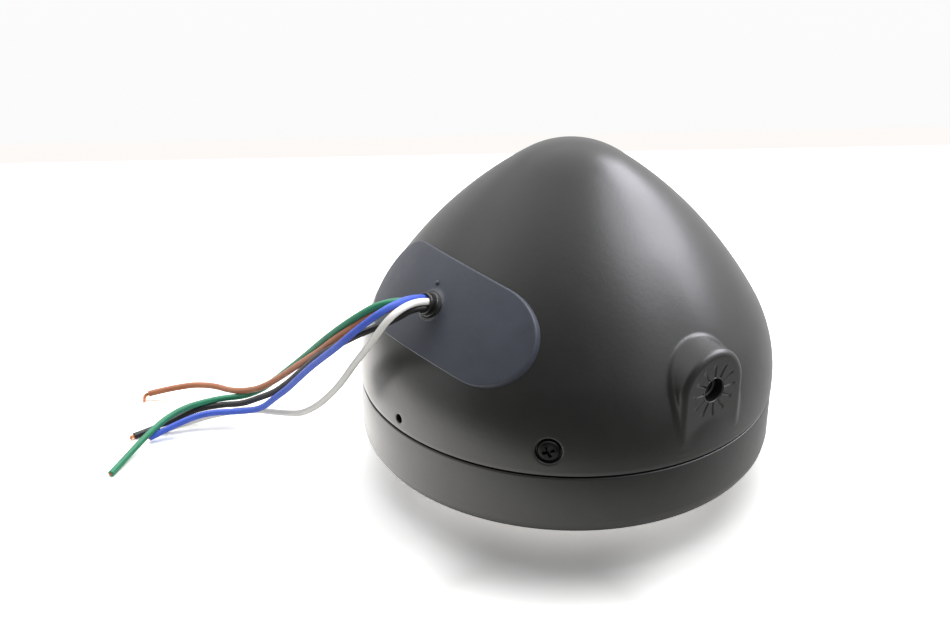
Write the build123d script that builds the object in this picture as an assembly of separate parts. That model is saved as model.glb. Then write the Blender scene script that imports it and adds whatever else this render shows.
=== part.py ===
from build123d import *
import math
import os

# Round motorcycle headlight, in millimetres, lying on its lens as on a bench.
# Z is the optical axis, with the lens apex at the origin and the bucket's nose at the top.
# The two bracket bosses lie on X. The underside of the fitted lamp, with the drain hole
# and the cable grommet, faces -Y.

# Bucket: a straight edge, then shoulder, flank and nose arcs that run into each other.
# The arcs are shares of the bucket's radius, so that its form is kept at any size.
bucket_radius = 82.0
bucket_wall = 2.0
edge_height = 3.4
shoulder_share = 0.6793
shoulder_turn = 30.6
flank_share = 2.2195
flank_turn = 25.1
drain_radius = 1.75
drain_height = 4.75

# Rim: a pressed ring whose skirt slides into the bucket's edge
rim_step = 0.6
rim_depth = 27.0
rim_sheet = 1.2
rim_corner = 7.5
rim_lip = 11.9
rim_shoulder_round = 0.6
seam_gap = 0.5
skirt_height = 2.5
skirt_clearance = 0.4

# Light unit: glass, seal and reflector
lens_dome = 13.5
lens_lap = 2.5
lens_inset = 1.5
lens_glass = 3.5
seal_width = 3.5
seal_thickness = 1.2
reflector_sheet = 1.2
reflector_lap = 0.5
reflector_flange = 6.5
focal_share = 0.36364
neck_radius = 19.0
neck_length = 11.0
bulb_seat_flange = 7.0

# Spring clips that press the unit against the rim's lip
clip_count = 6
clip_sheet = 0.8
clip_foot = 3.8
clip_top_gap = 2.5
clip_width_deg = 5.8

# Rim screws, their sunk seats and the brackets and nuts inside
screw_angles = (-135.0, -45.0)
screw_height = 9.8
screw_shank_radius = 1.95
screw_length = 9.0
screw_head_radius = 4.2
screw_head_height = 2.1
screw_cross_width = 1.1
screw_cross_length = 4.6
screw_cross_depth = 1.2
screw_hole_clearance = 0.35
seat_radius = 4.8
seat_floor = 1.4
seat_pad_radius = 6.6
bracket_sheet = 1.5
bracket_gap = 0.4
bracket_width_deg = 10.0
bracket_foot = 9.0
bracket_overlap = 7.0
nut_flats = 7.0
nut_thickness = 3.2
nut_bore_clearance = 0.05
hook_angle = 90.0
hook_width_deg = 8.0
hook_lip = 1.2
lug_width_deg = 12.0
lug_height = 4.0
lug_base = 4.2
fit_gap = 0.1

# Bracket bosses with M8 bushes
boss_inset = 1.0
boss_height_share = 0.3134
boss_radius = 15.3
boss_edge_round = 2.6
boss_draft = 4.0
boss_depth = 11.4
boss_flare_radius = 3.5
boss_flare_turn = 50.0
boss_root = 4.0
boss_hole_radius = 4.5
boss_floor = 4.0
groove_count = 12
groove_inner = 5.6
groove_outer = 10.4
groove_side = 0.8
thread_radius = 3.4
bush_radius = 6.8
bush_body = 11.0
bush_flange_radius = 9.2
bush_flange = 1.6
bush_clearance = 0.1
bush_housing_wall = 3.0

# Grommet: an oblong rubber plate that follows the bucket, with a cable nipple
grommet_height_share = 0.5671
grommet_length = 88.0
grommet_width = 37.2
grommet_plate = 2.2
grommet_flange = 1.6
grommet_lap = 4.0
grommet_inner_lap = 2.0
grommet_clearance = 0.15
nipple_lift = 28.0
nipple_length = 6.5
nipple_radius = 4.2
nipple_root_radius = 5.4
nipple_root_height = 3.6
nipple_tip_round = 0.7
nipple_sunk = 3.0
pip_offset = 7.8
pip_side = -3.0
pip_radius = 1.1
pip_height = 0.9

# Main bulb with two filaments, its base, boot and plug
glass_radius = 8.6
glass_wall = 1.0
glass_length = 42.0
base_lap = 2.4
base_flange = 1.2
base_skirt_wall = 1.2
base_skirt = 11.0
base_skirt_gap = 0.1
base_cup_radius = 11.0
base_cup = 9.0
insulator_height = 3.0
insulator_inset = 0.4
blade_width = 8.0
blade_thickness = 0.8
blade_length = 9.0
blade_offset = 5.6
filament_drop = 26.0
filament_step = 6.0
filament_radius = 0.9
filament_length = 5.0
support_radius = 0.45
support_offset = 3.4
shield_radius = 3.0
shield_wall = 0.4
spring_radius = 0.6
spring_inset = 6.0
spring_gap = 2.0
spring_corner = 5.0
boot_wall = 1.7
boot_gap = 0.2
boot_grip = 3.0
boot_rise = 4.5
boot_top = 2.0
plug_length = 28.0
plug_width = 26.0
plug_height = 16.0
plug_corner = 3.0
plug_slot_clearance = 0.3
plug_slot_margin = 0.8

# Parking bulb in the reflector
parking_spacing = 10.0
parking_socket_radius = 7.4
parking_socket_wall = 1.2
parking_socket_top = 11.5
parking_plug_clearance = 0.2
parking_plug_depth = 12.0
parking_flange = 2.0
parking_body_radius = 6.0
parking_body = 8.0
parking_bulb_radius = 4.8
parking_bulb_length = 18.0

# Wires
wire_radius = 1.2
wire_ring = 2.1
wire_bore_clearance = 0.15
wire_sunk = 4.0
wire_stub = 3.5
wire_lift = 0.05
core_radius = 0.65
bend_share = 0.45
lead_stub = 14.0
plug_lead_offset = 7.0
parking_lead_offset = 2.5

# Free wires, from outside the nipple to the cut end: X, Y from the bucket's edge, and the share
# of the drop from the grommet to the floor that is left
wire_drops = {
    "green": [
        (-5.5, -4, 1.0525), (-13.5, -9, 0.9592), (-24, -11, 0.86), (-34.5, -11.5, 0.7493),
        (-46, -10, 0.6501), (-56.5, -9, 0.5451), (-66.5, -8.5, 0.4402), (-76, -9, 0.3295),
        (-86.5, -9.5, 0.2303), (-97, -12, 0.1487), (-106, -18, 0.1079), (-111, -28.5, 0.0787),
        (-110.5, -40, 0.0613), (-107, -52, 0.0321), (-101.5, -64, 0.0087), (-95, -75.5, 0),
    ],
    "brown": [
        (-6, -4, 0.9883), (-18.5, -8, 0.8892), (-27.5, -10, 0.7784), (-38.5, -9.5, 0.6735),
        (-49, -9, 0.5743), (-60.5, -7.5, 0.4577), (-72.5, -6, 0.3469), (-85, -6.5, 0.2478),
        (-97, -7.5, 0.1662), (-109.5, -8.5, 0.1079), (-122, -12.5, 0.0728), (-133.5, -21, 0.0181),
        (-144, -32, 0),
    ],
    "blue": [
        (-0.5, -4, 1.0641), (-9, -12, 0.9242), (-18.5, -14, 0.8134), (-29, -13.5, 0.7026),
        (-40, -12, 0.5918), (-50.5, -11, 0.481), (-61, -10, 0.3644), (-71.5, -10.5, 0.2537),
        (-82, -12, 0.1662), (-92.5, -17, 0.1079), (-101.5, -26, 0.0728), (-107, -38, 0.0321),
        (-110.5, -51, 0),
    ],
    "black": [
        (0.5, -4, 1.0116), (-3.5, -12, 0.9685), (-14, -16.5, 0.8367), (-26.5, -16.5, 0.7259),
        (-37.5, -15, 0.6268), (-48.5, -14, 0.5219), (-59.5, -12.5, 0.411), (-70.5, -12, 0.3061),
        (-81.5, -12, 0.2128), (-92.5, -13.5, 0.1428), (-103, -18.5, 0.0904), (-110.5, -28.5, 0.0437),
        (-115.5, -41, 0.0145), (-117.5, -54.5, 0),
    ],
    "white": [
        (4.5, -5, 1.0583), (-1, -11.5, 0.9125), (-15, -8, 0.7318), (-26, -7, 0.586), (-36, -8, 0.4577),
        (-46, -8, 0.341), (-57, -8, 0.2478), (-69, -7, 0.1778), (-81, -6, 0.1312), (-92, -9.5, 0.102),
        (-101.5, -19.5, 0.0671), (-107.5, -31.5, 0.0321), (-112, -44, 0),
    ],
}
# Place of each wire round the nipple's bore, and how far its bare copper stands out
ring_angles = {"green": 188, "brown": 260, "blue": 116, "black": 332, "white": 44}
bare_lengths = {"green": 0.5, "brown": 5.0, "blue": 0.5, "black": 2.5, "white": 0.5}

# Heights and radii that follow from the sizes above
shoulder_radius = shoulder_share * bucket_radius
flank_radius = flank_share * bucket_radius
rim_radius = bucket_radius - rim_step
rim_opening = rim_radius - rim_lip
lens_edge = rim_opening + lens_lap
lens_dome_edge = rim_opening - lens_inset
reflector_edge = lens_edge + reflector_lap
reflector_mouth = reflector_edge - reflector_flange
focal_length = focal_share * reflector_mouth
bulb_seat_radius = neck_radius + bulb_seat_flange
base_flange_radius = neck_radius + base_lap
parking_offset = bulb_seat_radius + parking_spacing

rim_front = lens_dome
seam = rim_front + rim_depth
rim_shoulder = seam - seam_gap
rim_inside = rim_radius - rim_sheet
skirt_radius = bucket_radius - bucket_wall - skirt_clearance
lens_seat = rim_front + rim_sheet
lens_back = lens_seat + lens_glass
reflector_front = lens_back + seal_thickness
reflector_vertex = reflector_front + reflector_mouth**2 / (4 * focal_length)
bulb_seat = reflector_vertex - neck_radius**2 / (4 * focal_length) + neck_length
base_top = bulb_seat + base_flange + base_cup
blade_foot = base_top + insulator_height
strip_outside = skirt_radius - rim_sheet - bracket_gap
strip_inside = strip_outside - bracket_sheet
screw_level = seam + screw_height
boss_face = bucket_radius - boss_inset
boss_level = seam + boss_height_share * bucket_radius
parking_top = bulb_seat - parking_socket_top

shoulder_centre = Vector(bucket_radius - shoulder_radius, seam + edge_height)
flank_start = Vector(math.cos(math.radians(shoulder_turn)), math.sin(math.radians(shoulder_turn)))
flank_centre = shoulder_centre + flank_start * (shoulder_radius - flank_radius)
nose_angle = shoulder_turn + flank_turn
nose_start = Vector(math.cos(math.radians(nose_angle)), math.sin(math.radians(nose_angle)))
nose_radius = (flank_centre.X + flank_radius * nose_start.X) / nose_start.X
nose_centre = Vector(0, flank_centre.Y + (flank_radius - nose_radius) * nose_start.Y)

grommet_level = seam + grommet_height_share * bucket_radius
grommet_slope = math.degrees(math.asin((grommet_level - flank_centre.Y) / flank_radius))
grommet_radius = flank_centre.X + flank_radius * math.cos(math.radians(grommet_slope))
nipple_bore = wire_ring + wire_radius + wire_bore_clearance
wire_floor = wire_radius + wire_lift


def turned(outline):
    """A closed outline of (radius, height) edges, turned about Z."""
    return revolve(Plane.XZ * make_face(outline), Axis.Z)


def turned_strip(points, width_deg, angle):
    """A bent strip that follows the lamp's round: a (radius, height) outline turned part of the way."""
    strip = revolve(Plane.XZ * make_face(Polyline(*points, close=True)), Axis.Z, width_deg)
    return Rot(0, 0, angle - width_deg / 2) * strip


def direction(angle, lift=0.0):
    """Unit vector at this angle round Z from +X, lifted by so many degrees."""
    level = math.cos(math.radians(lift))
    return Vector(
        level * math.cos(math.radians(angle)),
        level * math.sin(math.radians(angle)),
        math.sin(math.radians(lift)),
    )


def outward_plane(angle, distance, height):
    """Plane that faces away from the axis, at this angle, distance and height."""
    out = direction(angle)
    return Plane(origin=out * distance + Vector(0, 0, height), x_dir=direction(angle + 90), z_dir=out)


def rod(radius, bottom, top):
    """Round bar along Z between two heights."""
    return Pos(0, 0, bottom) * Cylinder(radius, top - bottom, align=(Align.CENTER, Align.CENTER, Align.MIN))


def tube(points, radius):
    """Round tube along straight runs joined by arcs as wide as the runs allow."""
    bends = []
    for before, corner, after in zip(points, points[1:], points[2:]):
        run_in = corner - before
        run_out = after - corner
        half_turn = math.radians(run_in.get_angle(run_out)) / 2
        bends.append(bend_share * min(run_in.length, run_out.length) / math.tan(half_turn))
    path = FilletPolyline(*points, radius=bends)
    section = Plane(origin=path @ 0, z_dir=path % 0) * Circle(radius)
    return sweep(section, path)


def bucket_section(inset, bottom):
    """Half section of the bucket, moved inward by inset and closed along the axis."""
    edge = Line((bucket_radius - inset, bottom), (bucket_radius - inset, seam + edge_height))
    shoulder = CenterArc(shoulder_centre, shoulder_radius - inset, 0, shoulder_turn)
    flank = CenterArc(flank_centre, flank_radius - inset, shoulder_turn, flank_turn)
    nose = CenterArc(nose_centre, nose_radius - inset, nose_angle, 90 - nose_angle)
    axis = Polyline(nose @ 1, (0, bottom), (bucket_radius - inset, bottom))
    return edge + shoulder + flank + nose + axis


def grommet_plane():
    """Plane on the bucket at the grommet's centre, with its normal square to the surface."""
    out = direction(-90)
    return Plane(
        origin=out * grommet_radius + Vector(0, 0, grommet_level),
        x_dir=(1, 0, 0),
        z_dir=direction(-90, grommet_slope),
    )


def nipple_plane():
    """Plane across the nipple's axis where it leaves the bucket."""
    return Plane(
        origin=direction(-90) * grommet_radius + Vector(0, 0, grommet_level),
        x_dir=(1, 0, 0),
        z_dir=direction(-90, nipple_lift),
    )


def grommet_layer(inside, outside, grow):
    """Oblong patch of the bucket's skin between two insets, grown past the plate by so much."""
    reach = grommet_width
    slot = SlotOverall(grommet_length + 2 * grow, grommet_width + 2 * grow)
    block = grommet_plane() * Pos(0, 0, -reach) * extrude(slot, amount=2 * reach)
    patch = block & turned(bucket_section(outside, seam))
    return patch - turned(bucket_section(inside, seam))


def boss_plane(side):
    """Plane of a boss's face: side is 1 for +X and -1 for -X."""
    return Plane(origin=(side * boss_face, 0, boss_level), x_dir=(0, side, 0), z_dir=(side, 0, 0))


def boss_blank():
    """One boss, its face at height 0: a round top with a rounded edge, drafted side and flared root,
    and straight sides that run down to the bucket's edge."""
    edge_inset = boss_edge_round * math.tan(math.radians(45 - boss_draft / 2))
    edge_centre = (boss_radius - edge_inset, -boss_edge_round)
    edge = CenterArc(edge_centre, boss_edge_round, 90, boss_draft - 90)
    side_foot = -boss_depth
    side_out = (edge @ 1).X + (side_foot - (edge @ 1).Y) * -math.tan(math.radians(boss_draft))
    side = Line(edge @ 1, (side_out, side_foot))
    flare_from = 180 + boss_draft
    flare_centre = Vector(side_out, side_foot) - direction(flare_from) * boss_flare_radius
    flare = CenterArc(flare_centre, boss_flare_radius, flare_from, boss_flare_turn)
    root_level = (flare @ 1).Y - boss_root
    back = Polyline(flare @ 1, ((flare @ 1).X, root_level), (0, root_level), (0, 0), edge @ 0)
    outline = edge + side + flare + back
    half = Plane.XZ * make_face(outline)
    drop = extrude(half, amount=boss_level - seam)
    return turned(outline) + drop + mirror(drop, about=Plane.YZ)


def boss_grooves():
    """Radial locking grooves round the bolt hole, about Z with the face at height 0."""
    length = groove_outer - groove_inner
    groove = Pos(groove_inner + length / 2, 0, 0) * Rot(45, 0, 0) * Box(length, groove_side, groove_side)
    return [Rot(0, 0, 360 / groove_count * k) * groove for k in range(groove_count)]


def make_bucket():
    solid = turned(bucket_section(0, seam))
    for side in (1, -1):
        solid += boss_plane(side) * boss_blank()
    shell = solid - turned(bucket_section(bucket_wall, seam - bucket_wall))

    housing_inner = boss_floor + bush_body
    for side in (1, -1):
        plane = boss_plane(side)
        shell += plane * rod(bush_radius + bush_housing_wall, -housing_inner, -boss_floor / 2)
        shell -= plane * rod(bush_radius + bush_clearance, -housing_inner - bush_flange, -boss_floor)
        shell -= plane * rod(boss_hole_radius, -boss_floor - bush_flange, boss_floor)
        shell -= [plane * groove for groove in boss_grooves()]

    pad_back = strip_outside + fit_gap
    for angle in screw_angles:
        plane = outward_plane(angle, pad_back, screw_level)
        shell += plane * rod(seat_pad_radius, 0, bucket_wall)
        shell -= plane * rod(seat_radius, seat_floor, seat_radius + bucket_wall)
        hole_radius = screw_shank_radius + screw_hole_clearance
        shell -= plane * rod(hole_radius, -bucket_wall, seat_floor + bucket_wall)

    lug_inside = strip_outside + bracket_gap
    lug_outside = bucket_radius - bucket_wall / 2
    lug_top = seam + lug_base + lug_height
    lug = [(lug_inside, seam + lug_base), (lug_outside, seam + lug_base)]
    lug += [(lug_outside, lug_top), (lug_inside, lug_top)]
    shell += turned_strip(lug, lug_width_deg, hook_angle)

    drain = outward_plane(-90, bucket_radius, seam + drain_height)
    shell -= drain * rod(drain_radius, -3 * bucket_wall, bucket_wall)
    shell -= grommet_layer(bucket_wall + bucket_wall, -bucket_wall, grommet_clearance - grommet_lap)
    return shell


def make_rim():
    inner_corner = rim_corner - rim_sheet
    corner_centre = (rim_radius - rim_corner, rim_front + rim_corner)
    top = Polyline(
        (rim_inside, rim_front + rim_corner),
        (rim_inside, rim_shoulder - rim_sheet),
        (skirt_radius - rim_sheet, rim_shoulder - rim_sheet),
        (skirt_radius - rim_sheet, seam + skirt_height),
        (skirt_radius, seam + skirt_height),
        (skirt_radius, rim_shoulder),
        (rim_radius - rim_shoulder_round, rim_shoulder),
    )
    shoulder_centre_point = (rim_radius - rim_shoulder_round, rim_shoulder - rim_shoulder_round)
    shoulder = CenterArc(shoulder_centre_point, rim_shoulder_round, 90, -90)
    side = Line(shoulder @ 1, (rim_radius, rim_front + rim_corner))
    corner = CenterArc(corner_centre, rim_corner, 0, -90)
    lip = Polyline(
        corner @ 1,
        (rim_opening, rim_front),
        (rim_opening, rim_front + rim_sheet),
        (rim_radius - rim_corner, rim_front + rim_sheet),
    )
    inner = CenterArc(corner_centre, inner_corner, -90, 90)
    return turned(top + shoulder + side + corner + lip + inner)


def strip_points(top, lip):
    """Bracket section: a foot on the rim's wall, a joggle past the skirt and a strip up to top."""
    foot_bottom = rim_front + rim_corner + bracket_sheet
    foot_top = foot_bottom + bracket_foot
    joggle_top = foot_top + 2 * (rim_inside - strip_outside)
    points = [
        (rim_inside, foot_bottom),
        (rim_inside, foot_top),
        (strip_outside, joggle_top),
        (strip_outside, top - bracket_sheet),
        (strip_outside + lip, top - bracket_sheet),
        (strip_outside + lip, top),
        (strip_inside, top),
        (strip_inside, joggle_top - bracket_sheet / 4),
        (rim_inside - bracket_sheet, foot_top - bracket_sheet / 4),
        (rim_inside - bracket_sheet, foot_bottom),
    ]
    return points if lip else points[:3] + points[5:]


def make_rim_bracket(angle):
    strip = turned_strip(strip_points(screw_level + bracket_overlap, 0), bracket_width_deg, angle)
    hole = outward_plane(angle, strip_outside, screw_level)
    return strip - hole * rod(screw_shank_radius + screw_hole_clearance, -2 * bracket_sheet, bracket_sheet)


def make_rim_hook():
    top = seam + lug_base + lug_height + fit_gap + bracket_sheet
    return turned_strip(strip_points(top, hook_lip), hook_width_deg, hook_angle)


def make_rim_screw(angle):
    seat = outward_plane(angle, strip_outside + fit_gap + seat_floor, screw_level)
    head = rod(screw_head_radius, 0, screw_head_height)
    head = fillet(head.edges().sort_by(Axis.Z)[-1], screw_head_height / 2)
    shank = rod(screw_shank_radius, -screw_length, 0)
    slot = Box(screw_cross_length, screw_cross_width, 2 * screw_cross_depth)
    cross = Pos(0, 0, screw_head_height) * (slot + Rot(0, 0, 90) * slot)
    return seat * Rot(0, 0, 45) * (head + shank - cross)


def make_rim_nut(angle):
    half_width = math.radians(bracket_width_deg / 2)
    face = strip_inside * math.cos(min(half_width, nut_flats / strip_inside))
    seat = outward_plane(angle, face, screw_level)
    block = Pos(0, 0, -nut_thickness / 2) * Box(nut_flats, nut_flats, nut_thickness)
    return seat * (block - rod(screw_shank_radius + nut_bore_clearance, -2 * nut_thickness, nut_thickness))


def make_lens():
    curve_radius = (lens_dome_edge**2 + lens_seat**2) / (2 * lens_seat)
    inner_radius = curve_radius - lens_glass
    inner_edge = math.sqrt(inner_radius**2 - (curve_radius - lens_back) ** 2)
    outer_sweep = math.degrees(math.asin(lens_dome_edge / curve_radius))
    inner_sweep = math.degrees(math.asin(inner_edge / inner_radius))
    outside = CenterArc((0, curve_radius), curve_radius, -90, outer_sweep)
    inside = CenterArc((0, curve_radius), inner_radius, -90, inner_sweep)
    flange = Polyline(outside @ 1, (lens_edge, lens_seat), (lens_edge, lens_back), inside @ 1)
    return turned(outside + flange + inside + Line(inside @ 0, outside @ 0))


def make_lens_seal():
    seal = rod(lens_edge, lens_back, reflector_front)
    return seal - rod(lens_edge - seal_width, lens_back, reflector_front)


def parabola(inner_radius, outer_radius, vertex):
    """Parabolic edge between two radii: a Bezier whose middle point is where the end tangents meet."""
    def height(radius):
        return vertex - radius**2 / (4 * focal_length)

    middle = (inner_radius + outer_radius) / 2
    tangent = height(inner_radius) - inner_radius * (middle - inner_radius) / (2 * focal_length)
    return Bezier(
        (inner_radius, height(inner_radius)),
        (middle, tangent),
        (outer_radius, height(outer_radius)),
    )


def make_reflector():
    back_vertex = reflector_vertex + reflector_sheet
    flange_back = reflector_front + reflector_sheet
    neck_outside = neck_radius + reflector_sheet
    front = parabola(neck_radius, reflector_mouth, reflector_vertex)
    back_mouth = math.sqrt(4 * focal_length * (back_vertex - flange_back))
    back = parabola(neck_outside, back_mouth, back_vertex)
    flange = Polyline(
        front @ 1,
        (reflector_edge, reflector_front),
        (reflector_edge, flange_back),
        back @ 1,
    )
    neck = Polyline(
        back @ 0,
        (neck_outside, bulb_seat - reflector_sheet),
        (bulb_seat_radius, bulb_seat - reflector_sheet),
        (bulb_seat_radius, bulb_seat),
        (neck_radius, bulb_seat),
        front @ 0,
    )
    bowl = turned(front + flange + back + neck)

    socket = Pos(0, -parking_offset, 0)
    inside_bowl = turned(
        parabola(0, reflector_mouth, reflector_vertex)
        + Polyline((reflector_mouth, reflector_front), (0, reflector_front), (0, reflector_vertex))
    )
    collar = socket * rod(parking_socket_radius + parking_socket_wall, reflector_front, parking_top)
    collar -= inside_bowl
    return bowl + collar - socket * rod(parking_socket_radius, reflector_front, parking_top)


def make_unit_clip(angle):
    foot = reflector_front + reflector_sheet
    rise = foot + rim_inside - reflector_edge
    clip_top = rim_shoulder - rim_sheet - clip_top_gap
    foot_inside = reflector_edge - clip_foot
    points = [
        (foot_inside, foot),
        (reflector_edge, foot),
        (rim_inside, rise),
        (rim_inside, clip_top),
        (rim_inside - clip_sheet, clip_top),
        (rim_inside - clip_sheet, rise + clip_sheet / 2),
        (reflector_edge - clip_sheet / 2, foot + clip_sheet),
        (foot_inside, foot + clip_sheet),
    ]
    return turned_strip(points, clip_width_deg, angle)


def make_mount_bush(side):
    inner_face = -boss_floor - bush_body
    bush = rod(bush_radius, inner_face, -boss_floor)
    bush += rod(bush_flange_radius, inner_face - bush_flange, inner_face)
    return boss_plane(side) * (bush - rod(thread_radius, inner_face - bush_flange, -boss_floor))


def make_grommet():
    plate = grommet_layer(0, -grommet_plate, 0)
    plug = grommet_layer(bucket_wall, 0, -grommet_lap)
    flange = grommet_layer(bucket_wall + grommet_flange, bucket_wall, -grommet_inner_lap)

    tip = CenterArc(
        (nipple_radius - nipple_tip_round, nipple_length - nipple_tip_round), nipple_tip_round, 0, 90
    )
    outline = Polyline(
        (0, nipple_length),
        (0, -nipple_sunk),
        (nipple_root_radius, -nipple_sunk),
        (nipple_root_radius, nipple_root_height),
        (nipple_radius, nipple_root_height),
        tip @ 0,
    )
    nipple = nipple_plane() * turned(outline + tip + Line(tip @ 1, (0, nipple_length)))
    nipple -= turned(bucket_section(bucket_wall, seam))
    pip_level = grommet_plate + pip_height
    pip = grommet_plane() * Pos(pip_side, pip_offset, 0) * rod(pip_radius, 0, pip_level)
    reach = grommet_width / 2
    bore = nipple_plane() * rod(nipple_bore, -reach, reach)
    return plate + plug + flange + nipple + (pip - turned(bucket_section(0, seam))) - bore


def make_bulb_glass():
    tip = bulb_seat - glass_length
    outside = CenterArc((0, tip + glass_radius), glass_radius, -90, 90)
    inside = CenterArc((0, tip + glass_radius), glass_radius - glass_wall, -90, 90)
    wall = Polyline(
        outside @ 1,
        (glass_radius, bulb_seat),
        (glass_radius - glass_wall, bulb_seat),
        inside @ 1,
    )
    return turned(outside + wall + inside + Line(inside @ 0, outside @ 0))


def make_bulb_base():
    skirt_inside = glass_radius + base_skirt_gap
    base = rod(base_flange_radius, bulb_seat, bulb_seat + base_flange)
    base += rod(skirt_inside + base_skirt_wall, bulb_seat - base_skirt, bulb_seat)
    base -= rod(skirt_inside, bulb_seat - base_skirt, bulb_seat)
    return base + rod(base_cup_radius, bulb_seat + base_flange, base_top)


def make_bulb_insulator():
    return rod(base_cup_radius - insulator_inset, base_top, blade_foot)


def blade_places():
    """The three terminals: one across the top and one on each side."""
    sides = [Pos(side * blade_offset, 0, 0) * Rot(0, 0, 90) for side in (-1, 1)]
    return [Pos(0, blade_offset, 0)] + sides


def make_bulb_terminals():
    blade = Pos(0, 0, blade_foot + blade_length / 2) * Box(blade_width, blade_thickness, blade_length)
    return Compound(children=[place * blade for place in blade_places()])


def make_bulb_filaments():
    """Two filaments on three support wires, with the dipped-beam shield cup: welded into one frame."""
    low = bulb_seat - filament_drop - filament_step
    high = bulb_seat - filament_drop
    coil = rod(filament_radius, -filament_length / 2, filament_length / 2)
    frame = Pos(0, 0, low) * coil + Pos(0, 0, high) * coil
    frame += rod(support_radius, low, high)
    supports = [(low - filament_length / 2, 0), (high + filament_length / 2, 180), ((low + high) / 2, 90)]
    for level, angle in supports:
        support = Pos(support_offset, 0, 0) * rod(support_radius, level - support_radius, bulb_seat)
        bar = Box(support_offset, 2 * support_radius, 2 * support_radius)
        bar = Pos(support_offset / 2, 0, level) * bar
        frame += Rot(0, 0, angle) * (support + bar)
    shield_bottom = low - filament_length / 2
    shield = rod(shield_radius, shield_bottom, low + filament_length / 2)
    shield -= rod(shield_radius - shield_wall, shield_bottom + shield_wall, low + filament_length)
    shield -= Pos(0, shield_radius, low) * Box(4 * shield_radius, 2 * shield_radius, 2 * filament_length)
    return frame + shield


def make_bulb_spring():
    level = bulb_seat + base_flange + spring_radius
    x = bulb_seat_radius - spring_inset
    y = base_cup_radius + spring_gap
    corners = [(-x, -y, level), (x, -y, level), (x, y, level), (-x, y, level)]
    path = FilletPolyline(*corners, radius=spring_corner)
    return sweep(Plane(origin=path @ 0, z_dir=path % 0) * Circle(spring_radius), path)


def make_bulb_boot():
    grip = bulb_seat_radius + boot_gap
    collar = base_cup_radius + boot_gap
    skirt_top = bulb_seat + base_flange + 2 * spring_radius + boot_wall
    outline = Polyline(
        (grip, bulb_seat - boot_grip),
        (grip + boot_wall, bulb_seat - boot_grip),
        (grip + boot_wall, skirt_top),
        (collar + boot_wall, skirt_top + boot_rise),
        (collar + boot_wall, base_top - boot_top),
        (collar, base_top - boot_top),
        (collar, skirt_top + boot_rise - boot_wall),
        (grip, skirt_top - boot_wall / 2),
        close=True,
    )
    return turned(outline)


def make_bulb_plug():
    body = extrude(RectangleRounded(plug_length, plug_width, plug_corner), amount=plug_height)
    plug = Pos(0, 0, blade_foot) * body
    slot_depth = blade_length + plug_slot_margin
    slot = Box(blade_width + 2 * plug_slot_clearance, blade_thickness + 2 * plug_slot_clearance, slot_depth)
    for place in blade_places():
        plug -= place * Pos(0, 0, blade_foot + slot_depth / 2) * slot
    return plug


def make_parking_holder():
    plug_radius = parking_socket_radius - parking_plug_clearance
    holder = rod(plug_radius, parking_top - parking_plug_depth, parking_top)
    holder += rod(parking_socket_radius + parking_socket_wall, parking_top, parking_top + parking_flange)
    holder += rod(parking_body_radius, parking_top, parking_top + parking_flange + parking_body)
    return Pos(0, -parking_offset, 0) * holder


def make_parking_bulb():
    top = parking_top - parking_plug_depth
    bottom = top - parking_bulb_length
    envelope = rod(parking_bulb_radius, bottom + parking_bulb_radius, top)
    envelope += Pos(0, 0, bottom + parking_bulb_radius) * Sphere(parking_bulb_radius)
    return Pos(0, -parking_offset, 0) * envelope


def bore_point(colour, distance):
    """Point on a wire's line through the nipple, this far out along its axis."""
    offset = direction(ring_angles[colour]) * wire_ring
    return nipple_plane().from_local_coords(Vector(offset.X, offset.Y, distance))


def make_inner_lead(colour):
    """The stretch of a wire inside the bucket: three go to the plug and two to the parking bulb holder."""
    start = bore_point(colour, nipple_length - wire_sunk)
    inside = bore_point(colour, -lead_stub)
    side = {"green": -1, "white": 1, "blue": 0, "brown": -1, "black": 1}[colour]
    if colour in ("brown", "black"):
        x = side * parking_lead_offset
        end = Vector(x, -parking_offset, parking_top + parking_flange + parking_body)
        return tube([start, inside, end + Vector(0, 0, lead_stub), end], wire_radius)
    top = blade_foot + plug_height
    end = Vector(side * plug_lead_offset, plug_lead_offset * (side == 0), top)
    over = end + Vector(0, 0, lead_stub)
    middle = Vector(over.X / 2, (over.Y + inside.Y) / 2, over.Z)
    return tube([start, inside, middle, over, end], wire_radius)


def wire_route(colour):
    """Corner points of a free wire: straight out of the nipple, then down to the floor."""
    points = [bore_point(colour, nipple_length - wire_sunk), bore_point(colour, nipple_length + wire_stub)]
    for x, y, height_share in wire_drops[colour]:
        height = wire_floor + height_share * (grommet_level - wire_floor)
        points.append(Vector(x, y - bucket_radius, height))
    return points


def make_wire_core(colour):
    last, end = wire_route(colour)[-2:]
    return Plane(origin=end, z_dir=end - last) * rod(core_radius, 0, bare_lengths[colour])


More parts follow.
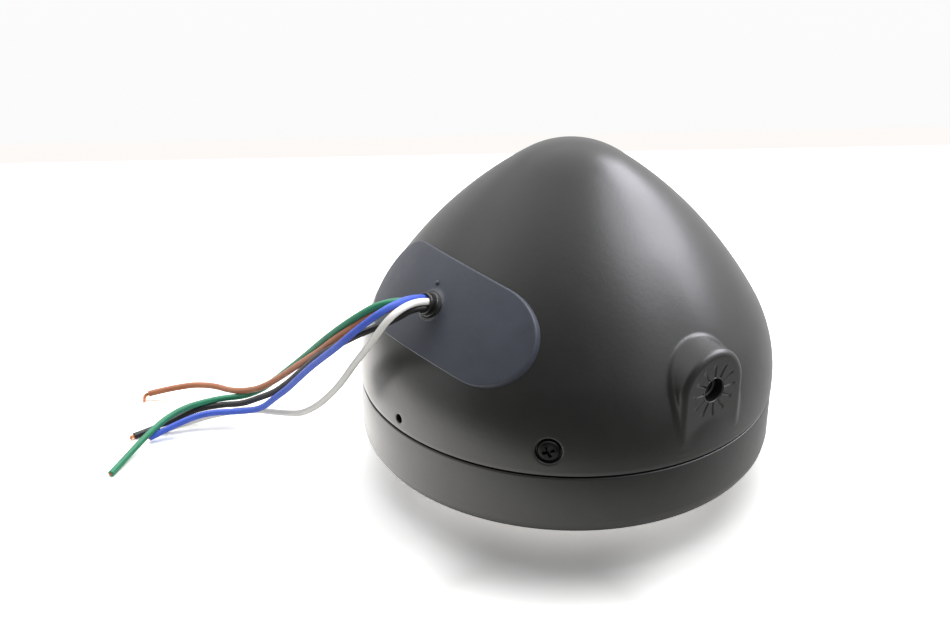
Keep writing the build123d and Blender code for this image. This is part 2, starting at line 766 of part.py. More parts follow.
nodes = {
    "bucket": make_bucket(),
    "rim": make_rim(),
    "rim_hook": make_rim_hook(),
    "rim_screws": Compound(children=[make_rim_screw(angle) for angle in screw_angles]),
    "rim_nuts": Compound(children=[make_rim_nut(angle) for angle in screw_angles]),
    "rim_bracket_left": make_rim_bracket(screw_angles[0]),
    "rim_bracket_right": make_rim_bracket(screw_angles[1]),
    "lens": make_lens(),
    "lens_seal": make_lens_seal(),
    "reflector": make_reflector(),
    "unit_clips": Compound(children=[make_unit_clip(360 / clip_count * k) for k in range(clip_count)]),
    "mount_bush_right": make_mount_bush(1),
    "mount_bush_left": make_mount_bush(-1),
    "grommet": make_grommet(),
    "bulb_glass": make_bulb_glass(),
    "bulb_base": make_bulb_base(),
    "bulb_insulator": make_bulb_insulator(),
    "bulb_terminals": make_bulb_terminals(),
    "bulb_filaments": make_bulb_filaments(),
    "bulb_spring": make_bulb_spring(),
    "bulb_boot": make_bulb_boot(),
    "bulb_plug": make_bulb_plug(),
    "parking_holder": make_parking_holder(),
    "parking_bulb": make_parking_bulb(),
    "inner_leads": Compound(children=[make_inner_lead(colour) for colour in wire_drops]),
    "wire_cores": Compound(children=[make_wire_core(colour) for colour in wire_drops]),
}
for colour in wire_drops:
    nodes["wire_" + colour] = tube(wire_route(colour), wire_radius)

os.makedirs("parts", exist_ok=True)
for name, shape in nodes.items():
    export_step(shape, f"parts/{name}.step")
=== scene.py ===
import math
import random

import bmesh
import bpy
import numpy as np
from mathutils import Matrix, Vector


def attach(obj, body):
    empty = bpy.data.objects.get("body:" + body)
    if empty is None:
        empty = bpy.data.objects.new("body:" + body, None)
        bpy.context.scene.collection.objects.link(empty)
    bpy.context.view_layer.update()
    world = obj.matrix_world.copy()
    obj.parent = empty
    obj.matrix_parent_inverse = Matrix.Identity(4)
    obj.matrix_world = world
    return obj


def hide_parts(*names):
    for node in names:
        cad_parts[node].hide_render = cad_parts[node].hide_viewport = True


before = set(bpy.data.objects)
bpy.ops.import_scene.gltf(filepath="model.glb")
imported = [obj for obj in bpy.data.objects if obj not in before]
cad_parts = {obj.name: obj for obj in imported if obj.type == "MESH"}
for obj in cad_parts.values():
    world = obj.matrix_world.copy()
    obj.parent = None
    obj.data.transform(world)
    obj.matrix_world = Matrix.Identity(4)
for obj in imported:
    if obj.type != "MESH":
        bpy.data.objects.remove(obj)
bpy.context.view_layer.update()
scene = bpy.context.scene
scene.view_settings.view_transform = "Standard"
MM = 0.001
TURN = 2 * math.pi


# Camera: a 60 mm lens that looks down on the lamp from its lower right
CAMERA_PLACE = (0.41757, -0.37165, 0.35066)
CAMERA_RIGHT = (0.61181, 0.79097, 0.00697)
CAMERA_UP = (-0.36696, 0.27602, 0.88834)
CAMERA_FORWARD = (-0.70073, 0.54605, -0.45913)

camera_data = bpy.data.cameras.new("camera")
camera_data.lens = 60
camera_data.sensor_width = 36
camera_data.clip_end = 50
camera = bpy.data.objects.new("camera", camera_data)
scene.collection.objects.link(camera)
turn = Matrix((CAMERA_RIGHT, CAMERA_UP, tuple(-v for v in CAMERA_FORWARD))).transposed()
camera.matrix_world = Matrix.Translation(CAMERA_PLACE) @ turn.to_4x4()
scene.camera = camera


# Materials

def linear(code):
    """An sRGB hex colour as linear red, green, blue and alpha."""
    parts = [int(code[i:i + 2], 16) / 255 for i in (1, 3, 5)]
    return [p / 12.92 if p <= 0.04045 else ((p + 0.055) / 1.055) ** 2.4 for p in parts] + [1.0]


def add(tree, kind, sockets=None, **settings):
    """Adds one shader node: settings are its own, sockets are values or other nodes' outputs."""
    node = tree.nodes.new("ShaderNode" + kind)
    for name, value in settings.items():
        setattr(node, name, value)
    for name, value in (sockets or {}).items():
        if isinstance(value, bpy.types.NodeSocket):
            tree.links.new(value, node.inputs[name])
        else:
            node.inputs[name].default_value = value
    return node


def new_material(name, **sockets):
    """A material with its Principled shader and its Object coordinates."""
    material = bpy.data.materials.new(name)
    material.use_nodes = True
    tree = material.node_tree
    shader = tree.nodes["Principled BSDF"]
    for socket, value in sockets.items():
        shader.inputs[socket.replace("_", " ")].default_value = value
    place = add(tree, "TexCoord").outputs["Object"]
    return material, tree, shader, place


def per_metre(size_mm):
    """Noise scale, for metres, whose features are about this many millimetres wide."""
    return 1 / (size_mm * MM)


def mottle(tree, place, size_mm, low, high, detail=3.0):
    """A noise of this feature size, spread between two values. Most of a noise lies between 0.3 and 0.7."""
    sockets = {"Vector": place, "Scale": per_metre(size_mm), "Detail": detail}
    noise = add(tree, "TexNoise", sockets)
    sockets = {"Value": noise.outputs["Fac"], "From Min": 0.3, "From Max": 0.7,
               "To Min": low, "To Max": high}
    return add(tree, "MapRange", sockets).outputs["Result"]


def tint(tree, shader, share, first, second):
    """Base colour between two sRGB colours by a share."""
    mix = add(tree, "Mix", {"Factor": share}, data_type="RGBA")
    mix.inputs["A"].default_value = linear(first)
    mix.inputs["B"].default_value = linear(second)
    tree.links.new(mix.outputs["Result"], shader.inputs["Base Color"])


def relief(tree, shader, layers):
    """Bump from several heights: each layer is a height output and its depth in millimetres."""
    normal = None
    for height, depth_mm in layers:
        sockets = {"Height": height, "Distance": depth_mm * MM, "Strength": 1.0}
        if normal is not None:
            sockets["Normal"] = normal
        normal = add(tree, "Bump", sockets).outputs["Normal"]
    tree.links.new(normal, shader.inputs["Normal"])


def satin_paint():
    # Satin black paint baked on metal: very dark, a broad soft sheen, and a faint orange peel about
    # 2 mm wide under a fine grit. The grit is 0.5 mm wide, coarser than the real one, so that it shows.
    material, tree, shader, place = new_material("satin_black_paint", IOR=1.5, Specular_IOR_Level=0.5)
    tint(tree, shader, mottle(tree, place, 9, 0, 1), "#151713", "#1a1c18")
    tree.links.new(mottle(tree, place, 14, 0.33, 0.37), shader.inputs["Roughness"])
    peel, grit = mottle(tree, place, 2.0, 0, 1, 2), mottle(tree, place, 0.5, 0, 1, 2)
    relief(tree, shader, [(peel, 0.012), (grit, 0.004)])
    return material


def moulded_rubber(name, dark, light, gloss):
    # Moulded rubber: matte, with a cloudy bloom some 12 mm wide and a fine grain from the mould.
    material, tree, shader, place = new_material(name, IOR=1.5, Specular_IOR_Level=0.4)
    tint(tree, shader, mottle(tree, place, 12, 0, 1, 5), dark, light)
    tree.links.new(mottle(tree, place, 6, gloss - 0.05, gloss + 0.05), shader.inputs["Roughness"])
    grain, waves = mottle(tree, place, 0.6, 0, 1, 4), mottle(tree, place, 5, 0, 1, 2)
    relief(tree, shader, [(grain, 0.012), (waves, 0.03)])
    return material


def wire_insulation(name, dark, light):
    # Extruded PVC: even colour with faint blotches, a soft gloss, and small scuffs from handling.
    material, tree, shader, place = new_material(name, IOR=1.53, Specular_IOR_Level=0.45)
    tint(tree, shader, mottle(tree, place, 7, 0, 1, 4), dark, light)
    tree.links.new(mottle(tree, place, 3, 0.34, 0.5, 4), shader.inputs["Roughness"])
    relief(tree, shader, [(mottle(tree, place, 0.8, 0, 1, 3), 0.01)])
    return material


def metal(name, dark, light, low, high, size_mm=2.5, depth_mm=0.006):
    # Plated or drawn metal: small differences of tone and gloss, as plating and handling leave.
    material, tree, shader, place = new_material(name, Metallic=1.0)
    tint(tree, shader, mottle(tree, place, size_mm * 2, 0, 1, 4), dark, light)
    tree.links.new(mottle(tree, place, size_mm, low, high, 4), shader.inputs["Roughness"])
    relief(tree, shader, [(mottle(tree, place, size_mm / 4, 0, 1, 3), depth_mm)])
    return material


def moulded_plastic(name, dark, light):
    # Moulded black plastic: satin, with the fine grain of a spark-eroded mould.
    material, tree, shader, place = new_material(name, IOR=1.49, Specular_IOR_Level=0.45)
    tint(tree, shader, mottle(tree, place, 8, 0, 1), dark, light)
    tree.links.new(mottle(tree, place, 5, 0.42, 0.52), shader.inputs["Roughness"])
    relief(tree, shader, [(mottle(tree, place, 0.5, 0, 1, 2), 0.02)])
    return material


def clear_glass(name, ripple_mm):
    # Pressed or blown glass: clear, hardly green, with a faint ripple from the mould.
    material, tree, shader, place = new_material(
        name, IOR=1.5, Transmission_Weight=1.0, Base_Color=linear("#f4f8f6"))
    tree.links.new(mottle(tree, place, 20, 0.01, 0.04), shader.inputs["Roughness"])
    relief(tree, shader, [(mottle(tree, place, 6, 0, 1, 2), ripple_mm)])
    return material


black_paint = satin_paint()
grommet_rubber = moulded_rubber("moulded_grommet_rubber", "#353942", "#3f434d", 0.52)
# A darker copy of the grommet's rubber for the nipple and its collar: its darker colour is painted shade
shaded_nipple_rubber = moulded_rubber("moulded_rubber_nipple_shade", "#0d0e0d", "#141514", 0.26)
boot_rubber = moulded_rubber("moulded_boot_rubber", "#161616", "#1e1e1e", 0.6)
seal_rubber = moulded_rubber("extruded_seal_rubber", "#121212", "#1a1a1a", 0.65)
screw_black = metal("black_oxide_steel", "#141414", "#2a2a29", 0.3, 0.45)
zinc_steel = metal("zinc_plated_steel", "#a4a8aa", "#c3c7c8", 0.24, 0.4)
bush_steel = metal("oiled_bush_steel", "#3a3a39", "#565654", 0.32, 0.5)
terminal_brass = metal("tinned_brass", "#b6a878", "#cfc39a", 0.22, 0.36)
bare_copper = metal("drawn_copper", "#7c4a30", "#a06a4a", 0.3, 0.45, 1.0)
tungsten_wire = metal("tungsten_wire", "#6c6e70", "#8b8d8f", 0.3, 0.45, 1.0)
bright_reflector = metal("aluminised_reflector", "#e3e5e6", "#eef0f1", 0.05, 0.1, 8.0, 0.003)
base_steel = metal("nickel_plated_base", "#b7b8b6", "#cfd0ce", 0.18, 0.3)
plug_plastic = moulded_plastic("moulded_black_nylon", "#121212", "#191919")
insulator_plastic = moulded_plastic("moulded_bulb_insulator", "#1c1a18", "#27241f")
lens_glass = clear_glass("pressed_lens_glass", 0.05)
bulb_glass = clear_glass("blown_bulb_glass", 0.01)
lead_grey = wire_insulation("grey_pvc_insulation", "#6a6b6b", "#787979")
wire_finish = {
    "green": wire_insulation("green_pvc_insulation", "#23815c", "#2e9069"),
    "brown": wire_insulation("brown_pvc_insulation", "#b46e4a", "#c27e58"),
    "blue": wire_insulation("blue_pvc_insulation", "#3b5ccf", "#4a6bdb"),
    "black": wire_insulation("black_pvc_insulation", "#141414", "#1d1d1d"),
    "white": wire_insulation("white_pvc_insulation", "#efede6", "#f8f6f0"),
}


# Pieces

def place_piece(piece, material, slot, *replaced):
    """Gives a piece its material and its body, and hides the CAD nodes that it stands for. Its slot is not
    used.
    """
    if piece.name not in scene.collection.objects:
        scene.collection.objects.link(piece)
    piece.data.materials.clear()
    piece.data.materials.append(material)
    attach(piece, "root")
    if replaced:
        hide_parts(*replaced)
    return piece


def finish_mesh(bm, name, material, slot, *replaced, sharp_deg=32):
    """Turns a shape in millimetres into a piece in metres, with smooth faces and crisp corners."""
    bmesh.ops.remove_doubles(bm, verts=bm.verts, dist=0.002)
    bmesh.ops.dissolve_degenerate(bm, edges=bm.edges, dist=0.0005)
    bmesh.ops.recalc_face_normals(bm, faces=bm.faces)
    bmesh.ops.scale(bm, verts=bm.verts, vec=(MM, MM, MM))
    mesh = bpy.data.meshes.new(name)
    bm.to_mesh(mesh)
    bm.free()
    mesh.shade_smooth()
    mesh.set_sharp_from_angle(angle=math.radians(sharp_deg))
    return place_piece(bpy.data.objects.new(name, mesh), material, slot, *replaced)


# Wires: control points in metres, from inside the nipple to the cut end
WIRE_RADIUS = 0.0013
WIRE_ROUTES = {
    "green": [
        (-0.00208, -0.06687, 0.08792), (-0.00208, -0.07349, 0.09144), (-0.0059, -0.0848, 0.0922),
        (-0.0148, -0.0904, 0.0842), (-0.0261, -0.0926, 0.074), (-0.0368, -0.0924, 0.0646),
        (-0.048, -0.0905, 0.0551), (-0.0589, -0.0888, 0.046), (-0.0698, -0.0879, 0.0367),
        (-0.0805, -0.0891, 0.0268), (-0.09, -0.0894, 0.0187), (-0.0994, -0.0922, 0.0123),
        (-0.1076, -0.0993, 0.01), (-0.1125, -0.1109, 0.0083), (-0.1118, -0.1219, 0.0073),
        (-0.1079, -0.1346, 0.0042), (-0.1018, -0.1464, 0.0019), (-0.0946, -0.1574, 0.00135),
    ],
    "brown": [
        (-0.00036, -0.0677, 0.08635), (-0.00036, -0.07433, 0.08987), (-0.0069, -0.085, 0.089),
        (-0.0181, -0.0915, 0.078), (-0.0267, -0.0934, 0.0702), (-0.037, -0.0929, 0.0612),
        (-0.0473, -0.0929, 0.0528), (-0.0585, -0.0919, 0.0439), (-0.0693, -0.0902, 0.0354),
        (-0.0804, -0.0915, 0.0263), (-0.0924, -0.092, 0.0184), (-0.106, -0.0942, 0.0124),
        (-0.1191, -0.0963, 0.0101), (-0.1317, -0.1036, 0.007), (-0.1407, -0.1164, 0.0029),
    ],
    "blue": [
        (-0.00092, -0.06585, 0.08984), (-0.00092, -0.07247, 0.09336), (0.0019, -0.0877, 0.0943),
        (-0.0071, -0.0962, 0.0832), (-0.0158, -0.0984, 0.0738), (-0.0257, -0.0984, 0.0652),
        (-0.0361, -0.0977, 0.0561), (-0.0472, -0.0961, 0.0462), (-0.0587, -0.0946, 0.0356),
        (-0.07, -0.0942, 0.0259), (-0.0799, -0.0954, 0.0164), (-0.0907, -0.0993, 0.0115),
        (-0.1016, -0.1099, 0.0095), (-0.1069, -0.1216, 0.0054), (-0.109, -0.1328, 0.0019),
    ],
    "black": [
        (0.00185, -0.0672, 0.08731), (0.00185, -0.07382, 0.09083), (-0.0017, -0.0832, 0.0859),
        (-0.0073, -0.093, 0.0817), (-0.0189, -0.0953, 0.0728), (-0.0326, -0.0955, 0.0625),
        (-0.0432, -0.0942, 0.053), (-0.0527, -0.0929, 0.0447), (-0.0628, -0.0918, 0.0356),
        (-0.0732, -0.0926, 0.0264), (-0.0845, -0.094, 0.0189), (-0.0949, -0.096, 0.012),
        (-0.1051, -0.0998, 0.0083), (-0.1128, -0.1097, 0.0056), (-0.1156, -0.1228, 0.00135),
        (-0.1152, -0.1366, 0.00135),
    ],
    "white": [
        (0.00151, -0.06605, 0.08946), (0.00151, -0.07267, 0.09298), (0.0043, -0.0873, 0.0926),
        (-0.001, -0.0937, 0.0795), (-0.0156, -0.0898, 0.0655), (-0.0263, -0.0899, 0.0514),
        (-0.036, -0.0894, 0.0412), (-0.0461, -0.0891, 0.0315), (-0.0572, -0.0896, 0.0231),
        (-0.0686, -0.0878, 0.017), (-0.0815, -0.0893, 0.0121), (-0.0923, -0.0927, 0.0094),
        (-0.1013, -0.1014, 0.0068), (-0.1074, -0.1132, 0.0041), (-0.1121, -0.1259, 0.0014),
    ],
}
WIRE_SLOTS = {
    "green": "green_insulation", "brown": "brown_insulation", "blue": "blue_insulation",
    "black": "black_plastic", "white": "white_insulation",
}
# Bare copper at each cut end, in metres: how far it stands out, how far its strands splay, and how far
# they hook down
BARE_COPPER = {
    "green": (0.0003, 0.0, 0.0), "brown": (0.0022, 0.0011, 0.004), "blue": (0.0003, 0.0, 0.0),
    "black": (0.002, 0.0004, 0.0008), "white": (0.0003, 0.0, 0.0),
}
HOOK = Vector((0.62, -0.5, -0.6))  # where stripped strands bend to
STRANDS = 7
STRAND_RADIUS = 0.00022
STRAND_SPACING = 2.1 * STRAND_RADIUS
STRAND_ROOT = 0.002


def spline_curve(name, paths, radius):
    """A round curve object along one or more open NURBS splines."""
    data = bpy.data.curves.new(name, "CURVE")
    data.dimensions = "3D"
    data.bevel_depth = radius
    data.bevel_resolution = 5
    data.resolution_u = 14
    data.use_fill_caps = True
    for path in paths:
        spline = data.splines.new("NURBS")
        spline.points.add(len(path) - 1)
        for point, place in zip(spline.points, path):
            point.co = (*place, 1)
        spline.order_u = 3
        spline.use_endpoint_u = True
        spline.use_smooth = True
    return bpy.data.objects.new(name, data)


def copper_strands(colour):
    """Strands out of a wire's cut end, one amid the others, splayed where the wire is stripped."""
    draw = random.Random("strands " + colour)
    last, end = (Vector(p) for p in WIRE_ROUTES[colour][-2:])
    along = (end - last).normalized()
    across = along.cross(Vector((0, 0, 1))).normalized()
    upward = across.cross(along)
    bare, splay, hook = BARE_COPPER[colour]
    paths = []
    for k in range(STRANDS):
        spoke = Vector((0, 0, 0))
        if k:
            angle = TURN * k / (STRANDS - 1)
            spoke = across * math.cos(angle) + upward * math.sin(angle)
        root = end + spoke * STRAND_SPACING
        reach = bare * draw.uniform(0.75, 1.0)
        sway = spoke * splay * draw.uniform(0.3, 1.0) + across * splay * draw.uniform(-0.4, 0.4)
        bend = root + along * reach + sway * 0.25 + HOOK * hook * 0.15
        tip = root + along * reach * 0.9 + sway + HOOK * hook * draw.uniform(0.7, 1.0)
        path = [root - along * STRAND_ROOT, root, bend, tip]
        for point in path[1:]:
            point.z = max(point.z, 2 * STRAND_RADIUS)
        paths.append(path)
    return spline_curve("copper_" + colour, paths, STRAND_RADIUS)


for colour, route in WIRE_ROUTES.items():
    wire = spline_curve("insulation_" + colour, [route], WIRE_RADIUS)
    place_piece(wire, wire_finish[colour], WIRE_SLOTS[colour], "wire_" + colour)
    strands = place_piece(copper_strands(colour), bare_copper, "bare_copper", "wire_cores")


# Bucket: the shell's arcs and ports, in millimetres as in the CAD source
SEAM = 40.5
WALL = 2.0
BUCKET_RADIUS = 82.0
EDGE_TOP = 43.9
EDGE_ROUND = 0.5
# Arcs of the half section: the centre's distance from the axis, its height, and the radius
SHOULDER = (26.2974, 43.9, 55.7026)
FLANK = (-82.4112, -20.3901, 181.999)
NOSE = (0.0, 100.4202, 35.7569)
SHOULDER_TURN = math.radians(30.6)
NOSE_TURN = math.radians(55.7)
AROUND = 192
STEP_TURN = math.radians(360 / AROUND)
SHOULDER_STEPS = 15
FLANK_STEPS = 40
NOSE_STEPS = 14
SKIN_SEARCH = (40.0, 90.0)
HALVINGS = 40

BOSS_FACE = 81.0
BOSS_LEVEL = 66.199
BOSS_RADIUS = 15.3
BOSS_EDGE = 2.6
BOSS_DRAFT = math.radians(4)
BOSS_FILLET = 2.8
BOSS_WINDOW_TOP = 93.6
# How far a ring round a boss reaches down and how square it is there, by its radius
BOSS_LOW = ((11, 14, 16.5, 19.5), (11, 18.5, 20.7, 21.5))
BOSS_SQUARE = ((11, 13.5, 15, 17, 19.5), (2, 6, 14, 14, 8))
BOSS_OUTER_RING = 19.5
# Radii of the rings over the fillet, the drafted side, the rounded edge and the face
BOSS_RINGS = (
    18.9, 18.4, 18.0, 17.65, 17.35, 17.1, 16.9, 16.72, 16.56, 16.42, 16.3, 16.2, 16.12, 16.04, 15.96, 15.88,
    15.8, 15.72, 15.64, 15.57, 15.51, 15.46, 15.4, 15.3, 15.15, 14.95, 14.7, 14.4, 14.05, 13.65, 13.2,
    12.8, 12.4, 12.0, 11.5,
)
GROOVES = 12
GROOVE_SECTOR = TURN / GROOVES
GROOVE_HALF = 0.5
# Radius and depth of each ring along the grooves, and down the bolt hole into the bush's housing
GROOVE_RINGS = ((11.0, 0), (10.5, 0), (10.2, 0.3), (8.0, 0.4), (5.5, 0.45), (5.2, 0.45))
HOUSING_RADIUS = 9.9
HOUSING_DEPTH = 15.0
BOLT_RINGS = ((5.0, 0), (4.85, 0.04), (4.66, 0.14), (4.54, 0.3), (4.5, 0.5), (4.5, 4.0), (6.9, 4.0),
              (6.9, HOUSING_DEPTH))
HOUSING_WINDOW = 11.5

SCREW_ANGLES = (-0.75 * math.pi, -0.25 * math.pi)
SCREW_LEVEL = SEAM + 9.8
SCREW_SEAT = 79.5
# Radius of each ring, how much of the way to it, and how deep under the skin
SEAT_LIP = ((6.3, 0.5, 0), (6.3, 1, 0), (5.7, 1, 0), (5.4, 1, 0.03), (5.15, 1, 0.13), (4.97, 1, 0.3),
            (4.86, 1, 0.55), (4.8, 1, 0.9))
SEAT_FLOOR = ((4.8, 79.75), (4.72, 79.57), (4.5, SCREW_SEAT), (2.3, SCREW_SEAT))
DRAIN_LEVEL = SEAM + 4.75
DRAIN_LIP = ((2.5, 0.5, 0), (2.5, 1, 0), (2.1, 1, 0.02), (1.9, 1, 0.1), (1.79, 1, 0.22), (1.75, 1, 0.4))


def shell_gap(p):
    """Distance of points from the bucket's outer skin, bosses aside."""
    r = np.hypot(p[:, 0], p[:, 1])
    z = p[:, 2]
    lift = np.arctan2(z - FLANK[1], r - FLANK[0])
    arcs = [np.hypot(r - cr, z - cz) - radius for cr, cz, radius in (SHOULDER, FLANK, NOSE)]
    gap = np.where(lift < SHOULDER_TURN, arcs[0], np.where(lift < NOSE_TURN, arcs[1], arcs[2]))
    return np.where(z < EDGE_TOP, r - BUCKET_RADIUS, gap)


def corner_length(a, b, c):
    """Distance from the line where two planes meet, by the distances to both and their normals' product."""
    return np.sqrt(np.maximum(a * a + b * b - 2 * c * a * b, 0) / np.maximum(1 - c * c, 1e-6))


def boss_gap(p):
    """Distance of points from a boss on +X: a drafted round with a rounded edge, drawn straight down."""
    out = np.hypot(p[:, 1], np.maximum(p[:, 2] - BOSS_LEVEL, 0))
    height = p[:, 0] - BOSS_FACE
    side = (out - BOSS_RADIUS + height * math.tan(BOSS_DRAFT)) * math.cos(BOSS_DRAFT) + BOSS_EDGE
    face = height + BOSS_EDGE
    c = math.sin(BOSS_DRAFT)
    corner = (side - c * face > 0) & (face - c * side > 0)
    return np.where(corner, corner_length(side, face, c), np.maximum(side, face)) - BOSS_EDGE


def gap_normal(gap, p):
    """Direction in which a distance grows."""
    step = 0.01
    grown = [gap(p + step * np.eye(3)[k]) - gap(p - step * np.eye(3)[k]) for k in range(3)]
    normal = np.stack(grown, 1)
    return normal / np.maximum(np.linalg.norm(normal, axis=1, keepdims=True), 1e-9)


def bossed_gap(p):
    """Distance from the shell and a boss on +X, joined by a rolled fillet."""
    shell, boss = shell_gap(p), boss_gap(p)
    c = np.sum(gap_normal(shell_gap, p) * gap_normal(boss_gap, p), axis=1)
    a, b = BOSS_FILLET - shell, BOSS_FILLET - boss
    rolled = (a - c * b > 0) & (b - c * a > 0) & (a > 0) & (b > 0)
    return np.where(rolled, BOSS_FILLET - corner_length(a, b, c), np.minimum(shell, boss))


def skin_reach(gap, across, height):
    """How far out along +X the skin lies, at these places across and up."""
    inner, outer = (np.full(len(across), end) for end in SKIN_SEARCH)
    for _ in range(HALVINGS):
        middle = (inner + outer) / 2
        out = gap(np.stack([middle, across, height], 1)) > 0
        outer = np.where(out, middle, outer)
        inner = np.where(out, inner, middle)
    return (inner + outer) / 2


def arc_points(arc, start, end, steps, inset=0.0):
    """Points (radius, height) along one of the shell's arcs, without the first."""
    cr, cz, radius = arc
    angles = [start + (end - start) * k / steps for k in range(1, steps + 1)]
    return [(cr + (radius - inset) * math.cos(a), cz + (radius - inset) * math.sin(a)) for a in angles]


def shell_profile(inset, bottom):
    """Half section of one skin of the bucket, from its lower edge to the axis."""
    points = [(BUCKET_RADIUS - inset, bottom), (BUCKET_RADIUS - inset, (bottom + EDGE_TOP) / 2)]
    points.append((BUCKET_RADIUS - inset, EDGE_TOP))
    points += arc_points(SHOULDER, 0, SHOULDER_TURN, SHOULDER_STEPS, inset)
    points += arc_points(FLANK, SHOULDER_TURN, NOSE_TURN, FLANK_STEPS, inset)
    return points + arc_points(NOSE, NOSE_TURN, math.pi / 2, NOSE_STEPS, inset)


def spun(profile, steps, closed=False, rounds=None):
    """A new shape: a (radius, height) profile turned round Z, some corners rounded first."""
    bm = bmesh.new()
    verts = [bm.verts.new((r, 0, z)) for r, z in profile]
    pairs = list(zip(verts, verts[1:])) + ([(verts[-1], verts[0])] if closed else [])
    for pair in pairs:
        bm.edges.new(pair)
    for index, size in (rounds or {}).items():
        bmesh.ops.bevel(bm, geom=[verts[index]], offset=size, offset_type="OFFSET", segments=4, profile=0.5,
                        affect="VERTICES", material=-1)
    bmesh.ops.spin(bm, geom=bm.verts[:] + bm.edges[:], cent=(0, 0, 0), axis=(0, 0, 1), dvec=(0, 0, 0),
                   angle=TURN, steps=steps, use_merge=True, use_duplicate=False)
    bmesh.ops.remove_doubles(bm, verts=bm.verts, dist=0.002)
    return bm


class Port:
    """A place on the bucket's side that faces outward at an angle: rings step in towards its centre."""

    def __init__(self, bm, angle, level):
        self.bm = bm
        self.level = level
        self.turn = np.array(Matrix.Rotation(-angle, 3, "Z"))
        self.edges = []

    def local(self, points):
        """Points turned so that the port faces +X."""
        return np.asarray(points) @ self.turn.T

    def open(self, half_turn, low, high, outer):
        """Deletes a window of faces from the outer or the inner skin."""
        chosen = set()
        for face in self.bm.faces:
            x, y, z = self.local([face.calc_center_median()])[0]
            if low < z < high and abs(math.atan2(y, x)) < half_turn:
                gap = shell_gap(np.array([[x, y, z]]))[0]
                if abs(gap + (0 if outer else WALL)) < WALL / 5:
                    chosen.add(face)
        edges = {e for f in chosen for e in f.edges if len(chosen.intersection(e.link_faces)) == 1}
        bmesh.ops.delete(self.bm, geom=list(chosen), context="FACES")
        self.edges = list(edges)

    def refine(self):
        """Doubles the number of edges round the window."""
        made = bmesh.ops.subdivide_edges(self.bm, edges=self.edges, cuts=1)
        self.edges = [e for e in made["geom_split"] if isinstance(e, bmesh.types.BMEdge) and e.is_boundary]

    def step(self, reach, radius, share=1.0, angles=None):
        """Extrudes the window's edge to a ring of this radius, also one that depends on the angle, or part
        of the way. reach gives how far out the ring lies, and angles may move its points round."""
        made = bmesh.ops.extrude_edge_only(self.bm, edges=self.edges)["geom"]
        ring = [v for v in made if isinstance(v, bmesh.types.BMVert)]
        at = self.local([v.co for v in ring])
        across, height = at[:, 1], at[:, 2] - self.level
        angle = np.arctan2(height, across)
        out = np.hypot(across, height)
        out = out + ((radius(angle) if callable(radius) else radius) - out) * share
        if angles is not None:
            angle = angles(angle, radius)
        across, height = out * np.cos(angle), out * np.sin(angle)
        depth = reach(across, height + self.level, angle)
        moved = np.stack([depth, across, height + self.level], 1) @ self.turn
        for vert, place in zip(ring, moved):
            vert.co = place
        members = set(ring)
        self.edges = [e for e in made if isinstance(e, bmesh.types.BMEdge) and members.issuperset(e.verts)]


def on_skin(gap, sunk=0.0):
    """Ring reach: on this skin, or so much under it."""
    return lambda across, height, angle: skin_reach(gap, across, height) - sunk


def at_depth(depth):
    """Ring reach: on a flat plane this far out."""
    return lambda across, height, angle: np.full(len(across), float(depth))


def set_round(angle, turns):
    """A ring's points, in their order round from the lowest one, set at these turns from it."""
    order = np.argsort((angle + math.pi / 2 + 1e-4) % TURN)
    placed = np.empty(len(angle))
    placed[order] = -math.pi / 2 + turns
    return placed


def even_angles(angle, radius):
    """The ring's points, spread evenly from the lowest one."""
    return set_round(angle, TURN * np.arange(len(angle)) / len(angle))


def groove_angles(angle, radius):
    """The ring's points, gathered at the edges of the straight grooves: eight to each."""
    half = math.asin(GROOVE_HALF / radius)
    steps = np.array([0, half] + [half + (GROOVE_SECTOR / 2 - half) * k / 3 for k in (1, 2, 3)])
    turns = np.concatenate([steps, GROOVE_SECTOR - steps[1:4][::-1]])
    return set_round(angle, np.concatenate([turns + GROOVE_SECTOR * k for k in range(GROOVES)]))


def grooved_face(depth):
    """Ring reach: the boss's face, sunk along the middle of each groove."""

    def reach(across, height, angle):
        off = np.abs((angle + math.pi / 2 + GROOVE_SECTOR / 2) % GROOVE_SECTOR - GROOVE_SECTOR / 2)
        return np.where(off < 1e-4, BOSS_FACE - depth, BOSS_FACE)

    return reach


def boss_ring(radius):
    """A ring round a boss by angle: round above its centre, drawn down to a rounded square below."""
    low = np.interp(radius, *BOSS_LOW)
    power = np.interp(radius, *BOSS_SQUARE)

    def ring(angle):
        square = np.abs(np.cos(angle) / radius) ** power + np.abs(np.sin(angle) / low) ** power
        return np.where(np.sin(angle) < 0, square ** (-1 / power), radius)

    return ring


def add_boss(bm, angle):
    """A bracket boss with its locking grooves, bolt hole and the housing of its bush."""
    housing = Port(bm, angle, BOSS_LEVEL)
    housing.open(5 * STEP_TURN, BOSS_LEVEL - HOUSING_WINDOW, BOSS_LEVEL + HOUSING_WINDOW, False)
    inner_skin = on_skin(lambda p: shell_gap(p) + WALL)
    housing.step(inner_skin, HOUSING_RADIUS, 0.5)
    housing.step(inner_skin, HOUSING_RADIUS)
    housing.step(at_depth(BOSS_FACE - HOUSING_DEPTH), HOUSING_RADIUS)

    port = Port(bm, angle, BOSS_LEVEL)
    port.open(10 * STEP_TURN, EDGE_TOP, BOSS_WINDOW_TOP, True)
    skin = on_skin(bossed_gap)
    for left in (4, 3, 2, 1):
        port.step(skin, boss_ring(BOSS_OUTER_RING), 1 / left)
    for radius in BOSS_RINGS:
        port.step(skin, boss_ring(radius))
    for radius, depth in GROOVE_RINGS:
        port.step(grooved_face(depth), radius, angles=groove_angles)
    for radius, depth in BOLT_RINGS:
        port.step(at_depth(BOSS_FACE - depth), radius, angles=even_angles)
    bmesh.ops.bridge_loops(bm, edges=port.edges + housing.edges)


